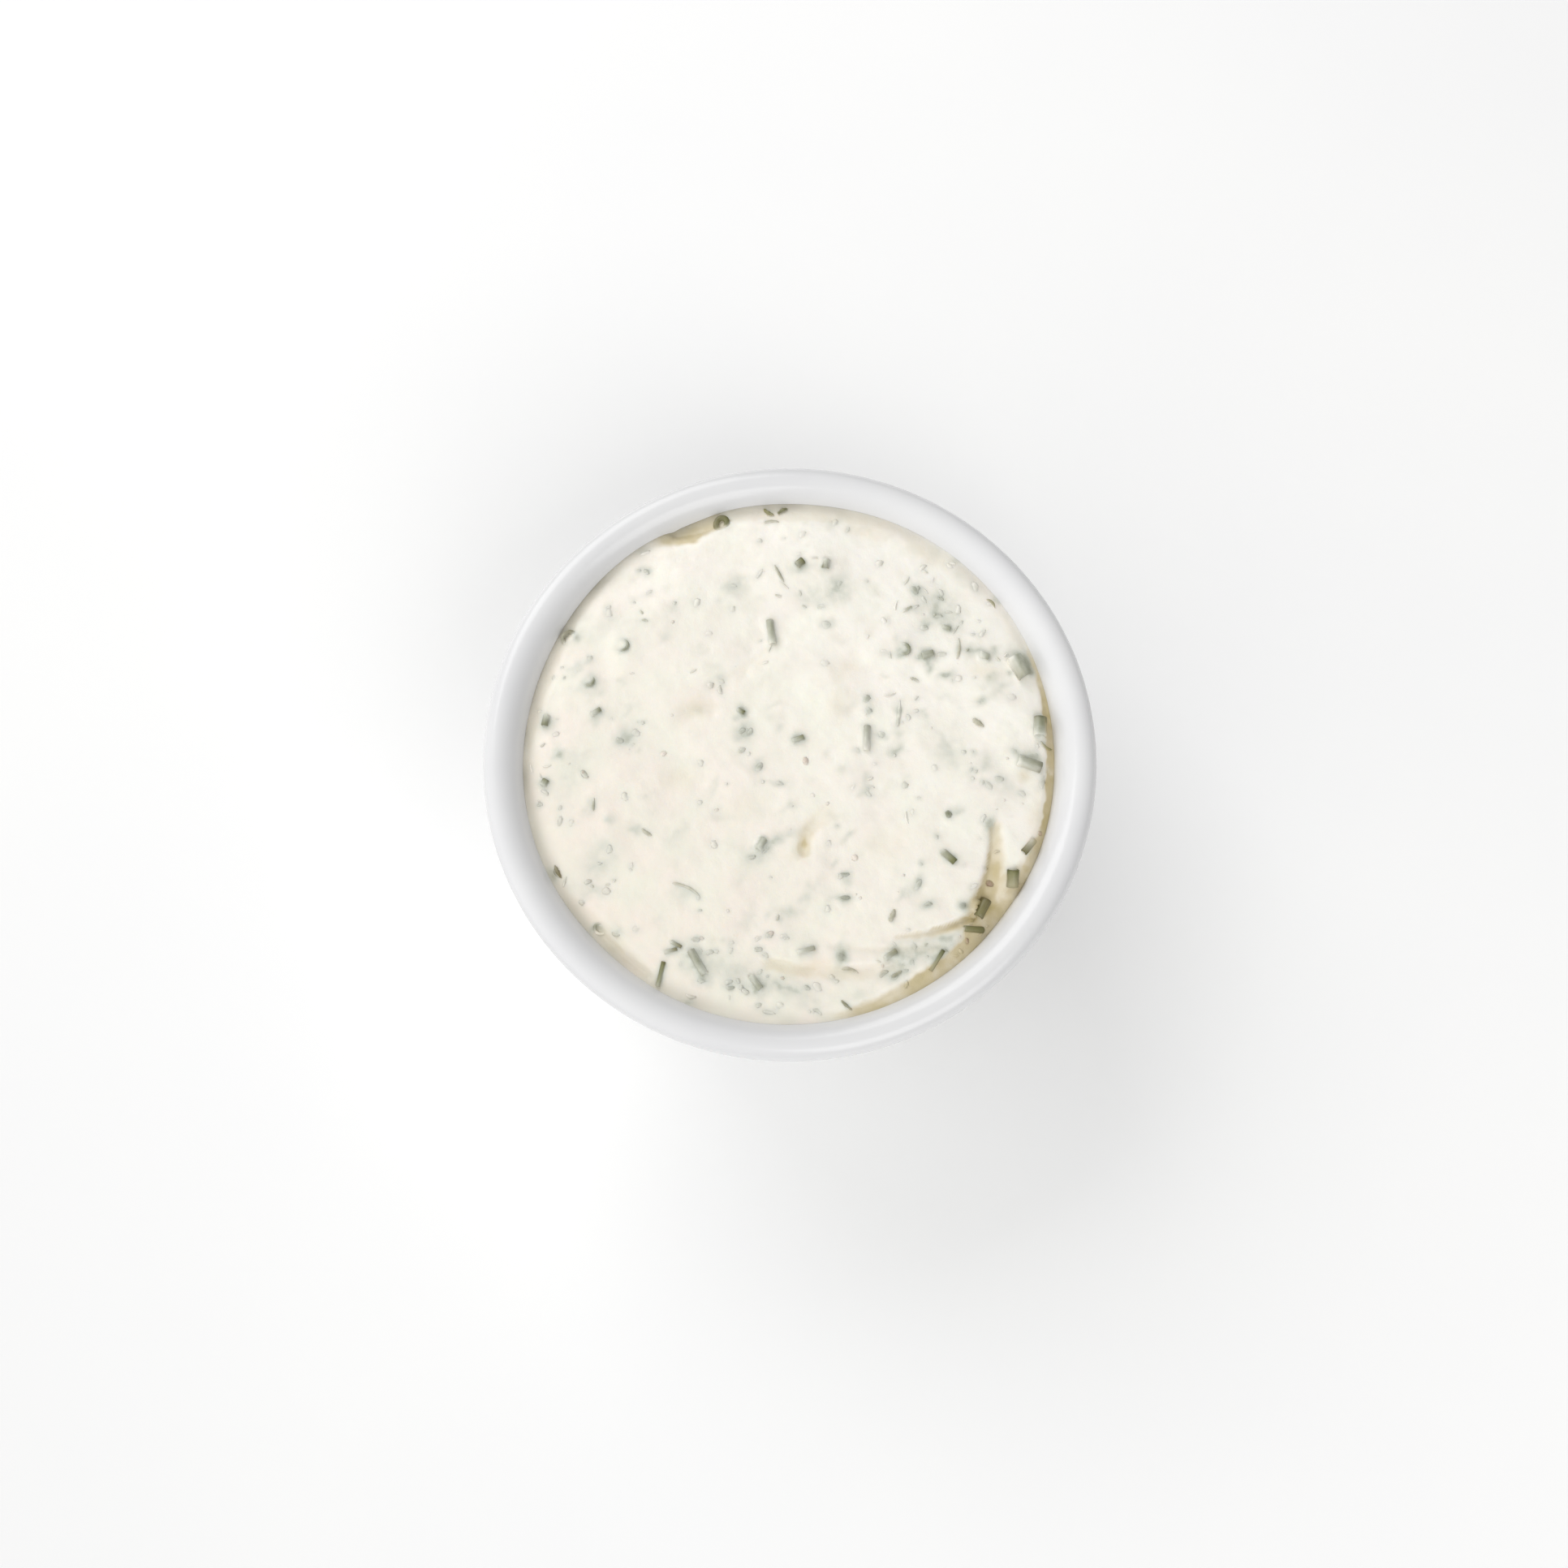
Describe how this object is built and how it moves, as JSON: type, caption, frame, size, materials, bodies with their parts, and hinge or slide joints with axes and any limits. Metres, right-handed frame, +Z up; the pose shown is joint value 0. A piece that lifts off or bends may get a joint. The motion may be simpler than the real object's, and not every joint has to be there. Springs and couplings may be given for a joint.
{
  "type": "tartar sauce in a dip bowl",
  "caption": "Creamy tartar sauce with cut chives and dill, filled almost to the rim of a small round white dip bowl with a thick rolled lip.",
  "frame": {"origin": "centre of the dish's foot ring, on the surface that it stands on", "axes": "+Z up along the dish's axis, -Y the side nearest to the viewer, +X to the viewer's right"},
  "size_m": [0.09, 0.09, 0.042],
  "materials": {
    "porcelain": "clear-glazed white porcelain, smooth and glossy, unglazed under the foot",
    "sauce": "thick ivory cream sauce, moist with a soft sheen, grey-green where herbs lie under the surface",
    "herbs": "dark olive-green cut chives and dill, moist, filmed with cream in places",
    "specks": "small pinkish-brown specks of onion skin and spice"
  },
  "bodies": {
    "root": {"dish": "porcelain", "tartar_sauce": "sauce"}
  },
  "joints": []
}
